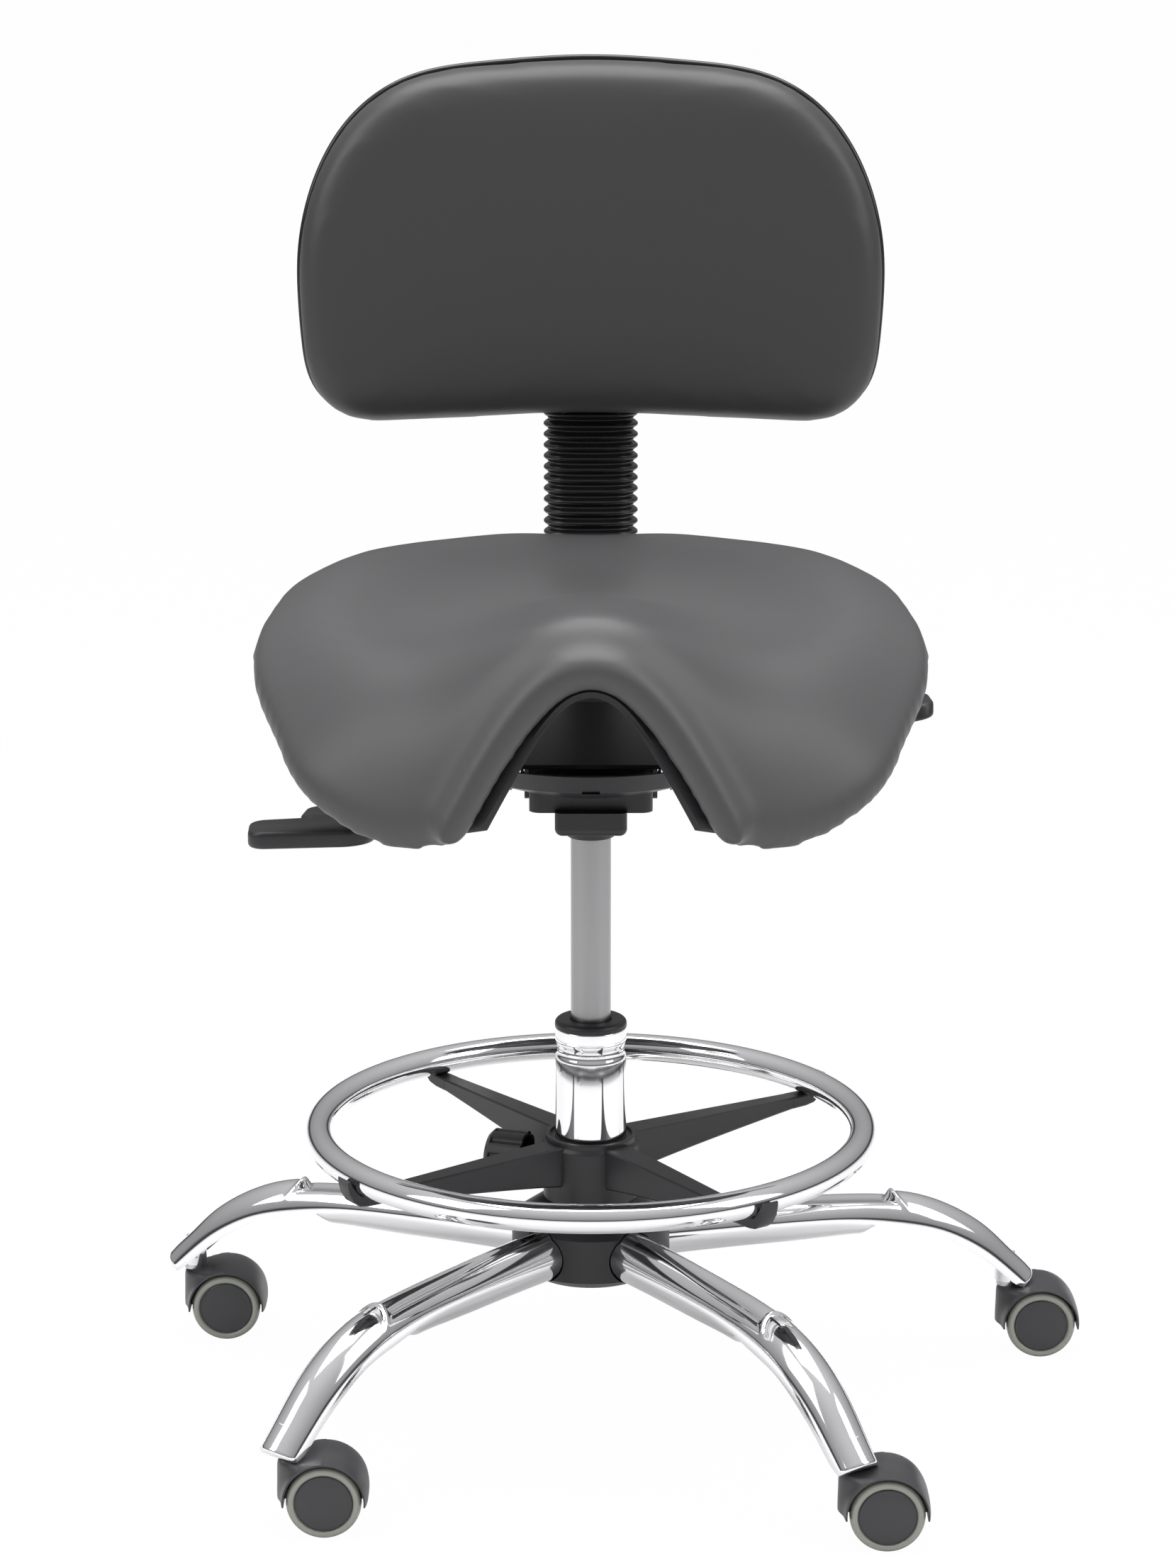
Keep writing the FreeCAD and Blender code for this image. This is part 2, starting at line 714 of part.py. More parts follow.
def paddle(hub, tip, lean, rod_end, rod_before):
    """Flat grip: a round hub, a broad blade to its rounded tip, and the disc under the hub."""
    run = tip - hub
    length = run.Length
    half = paddle_half_width
    corner = 11.0
    blade = box(0, length, -half, half, 0, paddle_thickness)
    ends = [e for e in blade.Edges if e.BoundBox.ZLength > 5 and e.BoundBox.XMin > length - 1]
    blade = blade.makeFillet(corner, ends)
    head = cylinder(paddle_hub_radius, Z * -paddle_hub_drop, Z * paddle_thickness)
    body = blade.fuse(head).removeSplitter()
    body.rotate(Vector(), X, lean)
    body.Placement = Placement(hub, Rotation(X, run)).multiply(body.Placement)
    seat = cylinder(lever_radius, rod_before, rod_end)
    return body.cut(seat)


def levers():
    """Three pull-up levers: a bent rod on a trunnion in the housing, with a grip pressed on."""
    level = lever_height
    x = trunnion_x
    y = height_lever_y
    bend = Vector(-x - 16, y, level - 2.5)
    end = Vector(-188, y, 411)
    rod = [Vector(lever_radius, y, level), Vector(-x, y, level), bend, Vector(-140, y, 413), end]
    save("height_lever_rod", lever_rod(rod, y, -1))
    save("height_lever_grip", paddle(Vector(-172, y, 405), Vector(-238, y, 403.5), 2, end, rod[-2]))
    y = tilt_lever_y
    end = Vector(-172, y + 12, 417)
    rod = [Vector(-x + 8, y, level), Vector(-x, y, level), Vector(-x - 16, y, level - 2.5),
           Vector(-126, y + 6, 420), end]
    save("tilt_lever_rod", lever_rod(rod, y, -1))
    save("tilt_lever_grip", paddle(Vector(-150, y + 10, 410), Vector(-206, y + 18, 409), 2, end, rod[-2]))
    end = Vector(196, y + 34, 480)
    rod = [Vector(x - 8, y, level), Vector(x, y, level), Vector(x + 34, y, level + 4),
           Vector(150, y + 30, 474), end]
    save("back_lever_rod", lever_rod(rod, y, 1))
    save("back_lever_grip", paddle(Vector(180, y + 33, 474), Vector(242, y + 38, 480), 22, end, rod[-2]))


# saddle sections: depth from the front, crest height, shoulder and edge of the upper surface, and
# how far the flank between them bulges outwards
saddle_sections = [
    (-192, 574, 36, 552, 96, 468, 5),
    (-176, 591, 46, 562, 132, 462, 10),
    (-140, 600, 58, 571, 184, 468, 18),
    (-72, 588, 74, 567, 222, 496, 22),
    (0, 571, 84, 563, 233, 524, 20),
    (76, 567, 88, 569, 224, 538, 16),
    (146, 582, 84, 584, 184, 553, 13),
    (184, 586, 62, 582, 118, 566, 6),
]


def saddle_band(depth, thickness, inset):
    """Loft of arched bands, each between two depths below the upper surface of the saddle."""
    wires = []
    for y, crest, shoulder_x, shoulder_z, edge_x, edge_z, bulge in saddle_sections:
        fade = 0.62 if y in (saddle_sections[0][0], saddle_sections[-1][0]) else 1.0
        curves = []
        for level in (depth, depth + thickness):
            drop = level * fade
            slope = Vector(edge_x - shoulder_x, 0, edge_z - shoulder_z).normalize()
            inward = Vector(slope.z, 0, -slope.x)
            crown = Vector(0, y, crest - drop)
            shoulder = Vector(shoulder_x, y, shoulder_z) + (inward - Z).normalize() * drop
            edge = Vector(edge_x, y, edge_z) + inward * drop * 0.75 - slope * inset
            flank = (shoulder + edge) * 0.5 - inward * bulge
            curves.append((crown, shoulder, flank, edge))
        wires.append(band_wire(curves))
    return Part.makeLoft(wires, True, True)


def flipped(point):
    return Vector(-point.x, point.y, point.z)


def band_wire(curves):
    (crown, shoulder, flank, edge), (crown_low, shoulder_low, flank_low, edge_low) = curves
    out = (edge - flank).normalize() * (edge - edge_low).Length * 0.42
    lip = (edge + edge_low) * 0.5 + out
    edges = [bow(flipped(shoulder), crown, shoulder), bow(shoulder, flank, edge), bow(edge, lip, edge_low),
             bow(edge_low, flank_low, shoulder_low), bow(shoulder_low, crown_low, flipped(shoulder_low)),
             bow(flipped(shoulder_low), flipped(flank_low), flipped(edge_low)),
             bow(flipped(edge_low), flipped(lip), flipped(edge)),
             bow(flipped(edge), flipped(flank), flipped(shoulder))]
    return Part.Wire(edges)


def seat_shell():
    """Moulded underside of the saddle, with four screw bosses that stand on the plate."""
    shell = saddle_band(cushion_thickness + shell_gap, shell_thickness, shell_inset)
    core = saddle_band(0, cushion_thickness + shell_gap + shell_thickness / 2, -20)
    for x, y in screw_places():
        foot = Vector(x, y, plate_top)
        boss = cylinder(boss_radius, foot, foot + Z * 80)
        shell = shell.fuse(boss.cut(core))
        shell = shell.cut(cylinder(seat_screw_diameter / 2, foot, foot + Z * 20))
    return max(shell.removeSplitter().Solids, key=lambda piece: piece.Volume)


def seat_screws():
    screws = []
    for x, y in screw_places():
        base = Vector(x, y, plate_bottom)
        head = cylinder(seat_screw_head / 2, base - Z * 5, base)
        shank = cylinder(seat_screw_diameter / 2, base, base + Z * (plate_thickness + 16))
        screws.append(joined([head, shank]))
    return screws


def back_bar():
    """Flat steel bar: a lug on the back pin, a run to the rear, and the upright in the bellows."""
    half = bar_width / 2
    low = back_pin_height - pin_radius - 1
    t = bar_thickness
    inner = bar_y - t / 2
    outer = bar_y + t / 2
    r = bar_bend_radius
    centre = Vector(-half, inner - r, low + t + r)
    sweep = math.sqrt(0.5)
    front = back_pin_y + 4
    edges = [Part.makeLine(Vector(-half, front, low), Vector(-half, centre.y, low)),
             arc(Vector(-half, centre.y, low), centre + Vector(0, (r + t) * sweep, -(r + t) * sweep),
                 Vector(-half, outer, centre.z)),
             Part.makeLine(Vector(-half, outer, centre.z), Vector(-half, outer, bar_top)),
             Part.makeLine(Vector(-half, outer, bar_top), Vector(-half, inner, bar_top)),
             Part.makeLine(Vector(-half, inner, bar_top), Vector(-half, inner, centre.z)),
             arc(Vector(-half, inner, centre.z), centre + Vector(0, r * sweep, -r * sweep),
                 Vector(-half, centre.y, low + t)),
             Part.makeLine(Vector(-half, centre.y, low + t), Vector(-half, front, low + t)),
             Part.makeLine(Vector(-half, front, low + t), Vector(-half, front, low))]
    bar = Part.Face(Part.Wire(edges)).extrude(X * bar_width)
    lug = cylinder(pin_radius + 5, Vector(-half, back_pin_y, back_pin_height),
                   Vector(half, back_pin_y, back_pin_height))
    hole = cylinder(pin_radius + running_gap, Vector(-half, back_pin_y, back_pin_height),
                    Vector(half, back_pin_y, back_pin_height))
    return bar.fuse(lug).cut(hole).removeSplitter()


def back_bellows():
    """Ribbed rubber sleeve, oval in plan, with a bore round the bar."""
    step = bellows_pitch / 2
    wires = []
    for index in range(2 * bellows_ribs + 1):
        pull = bellows_rib_depth if index % 2 == 0 else 0
        centre = Vector(0, bar_y, bellows_bottom + index * step)
        half_depth = bellows_half_depth - pull
        wires.append(oval(centre, X * (bellows_half_width - pull), Y, half_depth, half_depth))
    sleeve = Part.makeLoft(wires, True, True)
    margin = part_gap * 2
    hole = box(-bar_width / 2 - margin, bar_width / 2 + margin, bar_y - bar_thickness / 2 - margin,
               bar_y + bar_thickness / 2 + margin, bellows_bottom - 1, bellows_top + 1)
    return sleeve.cut(hole)


def back_outline(inset, start_y, depth):
    """Prism of the backrest's outline: arched top, large upper corners, smaller lower ones."""
    lower = back_lower_corner - inset
    upper = back_upper_corner - inset
    low_centre = Vector(back_half_width - back_lower_corner, start_y, back_bottom + back_lower_corner)
    high_centre = Vector(back_half_width - back_upper_corner, start_y, back_top - back_upper_corner_drop)

    def on(centre, radius, degrees):
        turn = math.radians(degrees)
        return centre + Vector(radius * math.cos(turn), 0, radius * math.sin(turn))

    a, b, c = (on(low_centre, lower, d) for d in (-90, -45, 0))
    d, e, f = (on(high_centre, upper, degrees) for degrees in (0, 41, 82))
    crown = Vector(0, start_y, back_top - inset)
    edges = [arc(a, b, c), Part.makeLine(c, d), arc(d, e, f), arc(f, crown, flipped(f)),
             arc(flipped(f), flipped(e), flipped(d)), Part.makeLine(flipped(d), flipped(c)),
             arc(flipped(c), flipped(b), flipped(a)), Part.makeLine(flipped(a), a)]
    return Part.Face(Part.Wire(edges)).extrude(Y * depth)


def back_layer(inset, start, thickness):
    """A layer of the backrest, curved round the sitter's back."""
    centre_y = back_front - back_curve_radius
    inner = back_curve_radius + start
    tall = Vector(0, centre_y, back_bottom - 50)
    top = Vector(0, centre_y, back_top + 50)
    sector = cylinder(inner + thickness, tall, top).cut(cylinder(inner, tall, top))
    return back_outline(inset, back_front - 100, 250).common(sector)


def back_cushion():
    """Padded front with its edge drawn in towards the sitter."""
    pad = back_layer(0, 0, back_cushion_thickness)
    front = min(pad.Faces, key=lambda face: face.CenterOfMass.y - face.Area / 1e4)
    return pad.makeChamfer(back_edge_rounding * 0.6, front.Edges)


def back_piping():
    ring = back_layer(-piping_proud, back_cushion_thickness, piping_width)
    return ring.cut(back_outline(8, back_front - 100, 250))


def back_shell():
    """Moulded rear panel, with a pad that fills the piping ring and meets the cushion."""
    start = back_cushion_thickness + part_gap
    panel = back_layer(back_shell_inset, back_cushion_thickness + piping_width, back_shell_thickness)
    filler = back_layer(8 + part_gap, start, piping_width - part_gap + 1)
    return panel.fuse(filler).removeSplitter()


def guide_screw_places():
    x = guide_half_width - 8
    return [(side * x, guide_bottom + z) for side in (-1, 1) for z in (38, guide_height - 12)]


def back_guide():
    """Plastic guide on the rear panel; the bar slides in its channel."""
    gap = part_gap
    rear = bar_y + bar_thickness / 2 + gap + guide_wall
    front = back_rear + gap
    low = guide_bottom
    high = low + guide_height
    body = box(-guide_half_width, guide_half_width, front, rear, low, high)
    upright = [e for e in body.Edges if e.BoundBox.ZLength > guide_height - 1 and e.BoundBox.YMin > rear - 1]
    body = body.makeFillet(5, upright)
    half = bar_width / 2 + gap
    channel = box(-half, half, bar_y - bar_thickness / 2 - gap, bar_y + bar_thickness / 2 + gap,
                  low - 5, high + 5)
    body = body.cut(channel)
    for x, z in guide_screw_places():
        body = body.cut(cylinder(guide_screw_diameter / 2, Vector(x, front - 5, z), Vector(x, rear + 5, z)))
    return body


def back_screws():
    rear = bar_y + bar_thickness / 2 + part_gap + guide_wall
    screws = []
    for x, z in guide_screw_places():
        shank = cylinder(guide_screw_diameter / 2, Vector(x, back_rear + part_gap, z), Vector(x, rear, z))
        head = cylinder(guide_screw_diameter * 0.9, Vector(x, rear, z), Vector(x, rear + 3, z))
        screws.append(joined([shank, head]))
    return screws


def base():
    save("base_hub", base_hub())
    legs_and_castors()


def column():
    save("column_tube", column_tube())
    save("guide_bush", guide_bush())
    save("thrust_bearing", thrust_bearing())
    save("piston_rod", piston_rod())
    save("rod_clip", rod_clip())
    save("gas_cylinder", gas_cylinder())
    save("valve_pin", valve_pin())


def foot_ring():
    """Steel tube bent to a full circle; its round section is drawn with short flats."""
    section = []
    for index in range(ring_flats):
        turn = 2 * math.pi * (index + 0.5) / ring_flats
        section.append((ring_radius + ring_tube_radius * math.cos(turn), ring_tube_radius * math.sin(turn)))
    return turned(section, Vector(0, 0, ring_height))


def foot_rest():
    save("foot_ring", foot_ring())
    save("foot_ring_spider", foot_ring_spider())
    save("clamp_screw", clamp_screw())
    save("foot_ring_knob", foot_ring_knob())


def mechanism():
    save("mechanism_housing", mechanism_housing())
    save("tilt_pin", hinge_pin(tilt_pin_y, tilt_pin_height, housing_half_width + ear_thickness + 1))
    save("back_pin", hinge_pin(back_pin_y, back_pin_height, housing_half_width))
    save("mechanism_cover", mechanism_cover())
    levers()


def seat():
    save("seat_plate", seat_plate())
    save("seat_shell", seat_shell())
    save("seat_cushion", saddle_band(0, cushion_thickness, 0))
    save("seat_screws", *seat_screws())


def backrest():
    save("back_bar", back_bar())
    save("back_bellows", back_bellows())
    save("back_guide", back_guide())
    save("back_shell", back_shell())
    save("back_piping", back_piping())
    save("back_cushion", back_cushion())
    save("back_screws", *back_screws())


os.makedirs("parts", exist_ok=True)
base()
column()
foot_rest()
mechanism()
seat()
backrest()
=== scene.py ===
import json
import math

import bmesh
import bpy
import numpy as np
from mathutils import Matrix, Vector


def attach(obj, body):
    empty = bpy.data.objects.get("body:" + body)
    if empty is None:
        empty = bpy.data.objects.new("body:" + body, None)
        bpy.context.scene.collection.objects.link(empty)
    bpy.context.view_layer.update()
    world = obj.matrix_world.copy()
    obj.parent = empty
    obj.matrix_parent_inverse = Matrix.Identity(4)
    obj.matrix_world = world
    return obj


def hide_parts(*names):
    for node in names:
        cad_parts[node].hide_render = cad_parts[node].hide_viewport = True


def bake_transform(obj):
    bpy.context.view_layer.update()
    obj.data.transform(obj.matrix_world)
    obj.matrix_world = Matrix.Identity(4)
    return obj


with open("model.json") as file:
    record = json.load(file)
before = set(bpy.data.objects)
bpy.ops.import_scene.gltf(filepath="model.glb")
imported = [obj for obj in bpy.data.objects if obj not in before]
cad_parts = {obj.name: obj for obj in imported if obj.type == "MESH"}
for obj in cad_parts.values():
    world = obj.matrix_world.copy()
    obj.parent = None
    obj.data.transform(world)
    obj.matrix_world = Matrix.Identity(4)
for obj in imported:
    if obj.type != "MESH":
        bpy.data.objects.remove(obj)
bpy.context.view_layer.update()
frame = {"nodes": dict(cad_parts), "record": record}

MM = 0.001

# Legs: pressed steel, chromed. A round tube at the hub is scooped on top, and past the end of the
# scoop it opens underneath into a thin shell that bends down to the castor.
def chrome(name, roughness, tint):
    material = bpy.data.materials.new(name)
    material.use_nodes = True
    shader = material.node_tree.nodes["Principled BSDF"]
    shader.inputs["Metallic"].default_value = 1.0
    shader.inputs["Base Color"].default_value = (tint, tint, tint * 1.01, 1)
    shader.inputs["Roughness"].default_value = roughness
    return material


def add_piece(name, bm, material, body, cad_nodes=(), crease=35):
    bmesh.ops.recalc_face_normals(bm, faces=bm.faces)
    mesh = bpy.data.meshes.new(name)
    bm.to_mesh(mesh)
    bm.free()
    mesh.shade_smooth()
    mesh.set_sharp_from_angle(angle=math.radians(crease))
    mesh.materials.append(material)
    piece = bpy.data.objects.new(name, mesh)
    bpy.context.collection.objects.link(piece)
    if body:
        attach(piece, body)
    if cad_nodes:
        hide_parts(*cad_nodes)
    return piece


def skinned(loops, closed=True, cap_start=True, cap_end=True):
    """Quads between rings of points; closed says whether each ring closes on itself."""
    bm = bmesh.new()
    rings = [[bm.verts.new(p) for p in loop] for loop in loops]
    count = len(rings[0])
    last = count if closed else count - 1
    for a, b in zip(rings, rings[1:]):
        for i in range(last):
            j = (i + 1) % count
            bm.faces.new((a[i], a[j], b[j], b[i]))
    if cap_start:
        bm.faces.new(rings[0])
    if cap_end:
        bm.faces.new(rings[-1])
    return bm


def spline(xs, ys):
    """Natural cubic spline through the points, as a function."""
    xs, ys = np.array(xs, float), np.array(ys, float)
    count, step = len(xs), np.diff(xs)
    system, right = np.zeros((count, count)), np.zeros(count)
    system[0, 0] = system[-1, -1] = 1
    slopes = np.diff(ys) / step
    for i in range(1, count - 1):
        system[i, i - 1 : i + 2] = step[i - 1], 2 * (step[i - 1] + step[i]), step[i]
        right[i] = 6 * (slopes[i] - slopes[i - 1])
    bend = np.linalg.solve(system, right)

    def at(x):
        i = int(np.clip(np.searchsorted(xs, x) - 1, 0, count - 2))
        t = x - xs[i]
        rate = slopes[i] - step[i] * (2 * bend[i] + bend[i + 1]) / 6
        return ys[i] + t * rate + t * t * bend[i] / 2 + t**3 * (bend[i + 1] - bend[i]) / (6 * step[i])

    return at


def eased(x, start, end):
    t = min(1.0, max(0.0, (x - start) / (end - start)))
    return t * t * (3 - 2 * t)


chrome_bright = chrome("chrome_bright", 0.07, 0.86)

# radius and height of the widest line, radius and height of the crest, half width, drop below
leg_stations = [
    (38, 115.5, 38, 133.5, 18.0, 18),
    (100, 116, 100, 133, 17.9, 17),
    (160, 116, 161, 131.5, 17.6, 16.5),
    (198, 112.5, 202, 131, 17.6, 12),
    (228, 106, 236, 127.6, 18.0, 6),
    (256, 98.5, 268, 116, 18.0, 2),
    (284, 82, 299, 95.5, 17.4, 1),
    (306, 64, 319, 75.5, 16.4, 1),
    (317, 54.5, 329.5, 65, 15.8, 1),
    (322, 52, 333.5, 60.5, 15.4, 1),
]
leg_wall = 2.2
leg_keys = [row[0] for row in leg_stations]
leg_lines = [spline(leg_keys, [row[k] for row in leg_stations]) for k in range(1, 6)]


def leg_ring(key, shrink=1.0, forward=0.0):
    lip_z, crest_r, crest_z, half, drop = [line(key) for line in leg_lines]
    lip = Vector((key, 0, lip_z))
    up = Vector((crest_r, 0, crest_z)) - lip
    rise = up.length
    up.normalize()
    ahead = Vector((up.z, 0, -up.x))
    points = []
    hollow = eased(key, 200, 222) * (1 - eased(key, 316, 321))
    for k in range(65):
        turn = math.pi * k / 64
        y = half * math.cos(turn)
        tall = rise * math.sin(turn)
        point = lip + up * tall
        reach = point.x
        inside = max(0.0, 1 - (y / (4 + 10 * eased(key, 50, 215))) ** 2)
        depth = 7.5 * max(0.0, (reach - 55) / 170) ** 1.25 * inside**1.5
        end = 240.5 - math.sqrt(max(17.0**2 - y * y, 1))
        fall = 1 - eased(reach, end - 3.5, end)
        bead = 1.7 * math.exp(-(((reach - end - 1.2) / 2.0) ** 2)) * (1 - eased(abs(y), 12, 16))
        tall += (bead - depth * fall) * math.sin(turn)
        points.append(lip + up * tall * shrink + Vector((0, y * shrink, 0)) + ahead * forward)
    for k in range(33):
        turn = math.pi * (1.02 + 0.96 * k / 32)
        y = (half - leg_wall * hollow) * math.cos(turn)
        tall = math.sin(turn) * (drop * (1 - hollow) - max(rise - leg_wall, 0) * hollow)
        points.append(lip + up * tall * shrink + Vector((0, y * shrink, 0)) + ahead * forward)
    return points


leg_rings = [leg_ring(key) for key in np.concatenate([np.linspace(38, 195, 40), np.arange(197, 250, 0.9), np.linspace(252, 322, 50)])]
leg_rings += [leg_ring(322, 0.97, 1.0), leg_ring(322, 0.9, 1.8)]
for index in range(5):
    turn = Matrix.Rotation(math.radians(86.6 + 72 * index), 4, "Z")
    bm = skinned([[turn @ (p * MM) for p in ring] for ring in leg_rings])
    add_piece("leg_%d_shell" % (index + 1), bm, chrome_bright, "base", ["base_leg_%d" % (index + 1)], 50)

# Column, bush and gas lift: a chromed tube with a rolled groove, the black collar of its bush, and the
# grey cylinder that slides and turns in it.
def profile(corners, steps=5):
    """Points through (radius, height, rounding) corners, each corner eased over its rounding."""
    points = []
    for i, (r, h, rounding) in enumerate(corners):
        here = Vector((r, h))
        if rounding == 0 or i in (0, len(corners) - 1):
            points.append(here)
            continue
        before = (Vector(corners[i - 1][:2]) - here).normalized() * rounding + here
        after = (Vector(corners[i + 1][:2]) - here).normalized() * rounding + here
        for k in range(steps + 1):
            t = k / steps
            points.append(before * (1 - t) ** 2 + here * 2 * t * (1 - t) + after * t * t)
    return points


def spun(points, steps=96, place=Matrix()):
    """A turned piece from an open profile of (radius, height) points, about Z."""
    loops = []
    for k in range(steps):
        turn = 2 * math.pi * k / steps
        loops.append([place @ (Vector((p.x * math.cos(turn), p.x * math.sin(turn), p.y)) * MM) for p in points])
    bm = skinned(loops + loops[:1], closed=False, cap_start=False, cap_end=False)
    bmesh.ops.remove_doubles(bm, verts=bm.verts, dist=1e-7)
    return bm


def plastic(name, colour, roughness, grain=0.0, grain_scale=900.0, sheen=0.5):
    material = bpy.data.materials.new(name)
    material.use_nodes = True
    tree = material.node_tree
    shader = tree.nodes["Principled BSDF"]
    shader.inputs["Base Color"].default_value = (*colour, 1)
    shader.inputs["Roughness"].default_value = roughness
    shader.inputs["Specular IOR Level"].default_value = sheen
    if grain:
        where = tree.nodes.new("ShaderNodeTexCoord")
        noise = tree.nodes.new("ShaderNodeTexNoise")
        noise.inputs["Scale"].default_value = grain_scale
        noise.inputs["Detail"].default_value = 3
        bump = tree.nodes.new("ShaderNodeBump")
        bump.inputs["Strength"].default_value = grain
        bump.inputs["Distance"].default_value = 0.0003
        tree.links.new(where.outputs["Object"], noise.inputs["Vector"])
        tree.links.new(noise.outputs["Fac"], bump.inputs["Height"])
        tree.links.new(bump.outputs["Normal"], shader.inputs["Normal"])
    return material


black_plastic = plastic("black_plastic", (0.018, 0.018, 0.02), 0.42, 0.25)
dark_plastic = plastic("dark_plastic", (0.045, 0.045, 0.048), 0.38, 0.2)
steel = chrome("zinc_steel", 0.28, 0.6)

tube = profile([(22.9, 86, 0), (24.4, 86, 0.6), (24.4, 91, 0.3), (25, 92, 0.4), (25, 250.5, 1.5), (23.6, 253.5, 1.5),
                (23.6, 258.5, 1.5), (25, 261.5, 1.5), (25, 272, 0.8), (22.9, 272, 0)])
add_piece("column_chrome", spun(tube), chrome_bright, "base", ["column_tube"], 50)
collar = profile([(14.3, 262, 0), (14.3, 277.6, 0.5), (16, 278, 0.6), (23.4, 278, 2), (25.3, 275.5, 1.2), (25.3, 272, 0.6), (22.9, 271.8, 0)])
add_piece("column_collar", spun(collar), black_plastic, "base", ["guide_bush"], 50)
lift_paint = chrome("lift_grey", 0.3, 0.33)
barrel = profile([(0, 225, 0), (13, 225, 0), (14, 226, 1), (14, 408, 2), (13.2, 440.8, 0.5), (0, 440.8, 0)])
add_piece("gas_lift_cylinder", spun(barrel, 64), lift_paint, "gas_lift", ["gas_cylinder"], 50)

# Foot ring: a chromed steel tube bent to a full circle.
ring_loops = []
for k in range(256):
    turn = 2 * math.pi * k / 256
    out = Vector((math.cos(turn), math.sin(turn), 0))
    ring_loops.append([(out * (192 + 10 * math.cos(a)) + Vector((0, 0, 197 + 10 * math.sin(a)))) * MM
                       for a in np.linspace(0, 2 * math.pi, 33)[:-1]])
bm = skinned(ring_loops + ring_loops[:1], cap_start=False, cap_end=False)
bmesh.ops.remove_doubles(bm, verts=bm.verts, dist=1e-7)
add_piece("foot_ring_tube", bm, chrome_bright, "foot_rest", ["foot_ring"], 50)

# Castor wheels: a nylon core with a domed cap, and the grey-green soft tread moulded round it.
tread_rubber = plastic("tread_rubber", (0.30, 0.31, 0.27), 0.22, 0, sheen=0.6)
cap_plastic = plastic("wheel_cap", (0.04, 0.04, 0.043), 0.36, 0.15)
for index in range(5):
    turn = math.radians(86.6 + 72 * index)
    centre = Vector((315 * math.cos(turn) + 24, 315 * math.sin(turn), 25)) * MM
    for side, word in ((-1, "front"), (1, "rear")):
        place = Matrix.Translation(centre) @ Matrix.Rotation(-side * math.pi / 2, 4, "X")
        body = "castor_%d_%s_wheel" % (index + 1, word)
        inner, outer = 7.45, 22.95
        tread = profile([(19.4, inner + 0.6, 0), (23.6, inner + 0.6, 0.6), (24.95, inner + 3, 2), (24.95, outer - 3.2, 2.6),
                         (22.6, outer - 0.4, 1.8), (20.4, outer - 0.9, 0.6), (19.3, outer - 2.2, 0)], 7)
        cap = profile([(3.2, inner, 0), (19.4, inner, 0.5), (19.4, outer - 1.6, 1), (18.4, outer - 0.9, 0.6),
                       (17.8, outer - 1.3, 0.4), (12, outer - 0.5, 4), (0, outer - 0.15, 0)], 7)
        name = "castor_%d_%s_" % (index + 1, word)
        node = "castor_%d_wheel_%s" % (index + 1, word)
        add_piece(name + "tread", spun(tread, 72, place), tread_rubber, body, [node], 50)
        add_piece(name + "cap", spun(cap, 72, place), cap_plastic, body, [], 40)

# Saddle cushion: foam under smooth grey vinyl, arched over the pommel, with a rolled edge all round.
# depth, thickness, then the upper face from its crest to its edge
saddle_rows = [
    (-186, 24, (0, 580), (26, 573), (51, 550), (74, 515), (100, 468)),
    (-172, 30, (0, 592), (32, 584), (65, 557), (97, 519), (132, 466)),
    (-148, 32, (0, 598), (40, 588), (84, 560), (130, 526), (174, 480)),
    (-100, 32, (0, 597), (46, 586), (100, 563), (161, 543), (205, 507)),
    (-40, 32, (0, 584), (50, 577), (112, 563), (180, 555), (222, 530)),
    (30, 32, (0, 575), (52, 572), (118, 568), (188, 566), (227, 547)),
    (90, 32, (0, 578), (55, 578), (120, 579), (180, 574), (217, 558)),
    (146, 31, (0, 590), (55, 591), (114, 586), (162, 577), (191, 563)),
    (182, 24, (0, 585), (50, 584), (88, 579), (120, 569), (144, 557))]


def saddle_face(row):
    """Upper face from crest to edge, with its direction and the way into the foam at each point."""
    points = np.array(row[2:], float)
    run = np.concatenate([[0], np.cumsum(np.linalg.norm(np.diff(points, axis=0), axis=1))])
    both = np.vstack([points[:0:-1] * [-1, 1], points])
    curves = [spline(np.concatenate([-run[:0:-1], run]), both[:, k]) for k in (0, 1)]
    top = np.array([[curve(t) for curve in curves] for t in np.linspace(0, run[-1], 21)])
    way = np.gradient(top, axis=0)
    way /= np.linalg.norm(way, axis=1)[:, None]
    inward = np.stack([way[:, 1], -way[:, 0]], axis=1)
    inward[0] = (0, -1)
    return top, way, inward


def mirrored(half):
    return np.vstack([half, half[-2:0:-1] * [-1, 1]])


def saddle_ring(row):
    """Closed ring across the saddle: upper face, rounded lip and lower face on both sides."""
    top, way, inward = saddle_face(row)
    low = top + inward * row[1]
    middle, across, reach = (top[-1] + low[-1]) / 2, (top[-1] - low[-1]) / 2, way[-1] * row[1] * 0.5
    lip = [middle + across * math.cos(a) + reach * math.sin(a) for a in np.radians([22, 45, 67, 90, 113, 135, 158])]
    return mirrored(np.vstack([top, lip, low[::-1]]))


def shell_ring(row):
    """Closed ring across the moulded shell that the foam is glued on, a little short of its edge."""
    top, way, inward = saddle_face(row)
    return mirrored(np.vstack([(top + inward * (row[1] + 0.4))[:20], (top + inward * (row[1] + 4.4))[:20][::-1]]))


def along_saddle(loops, start, end, count):
    """Rings at even depths through the loops that stand at the depths of the rows."""
    keys = [row[0] for row in saddle_rows]
    lines = [[spline(keys, [loop[i][k] for loop in loops]) for k in (0, 1)] for i in range(len(loops[0]))]
    return [np.array([[line[0](y), y, line[1](y)] for line in lines]) for y in np.linspace(start, end, count)]


rings = along_saddle([saddle_ring(row) for row in saddle_rows], -186, 182, 90)
saddle_count = len(rings[0])


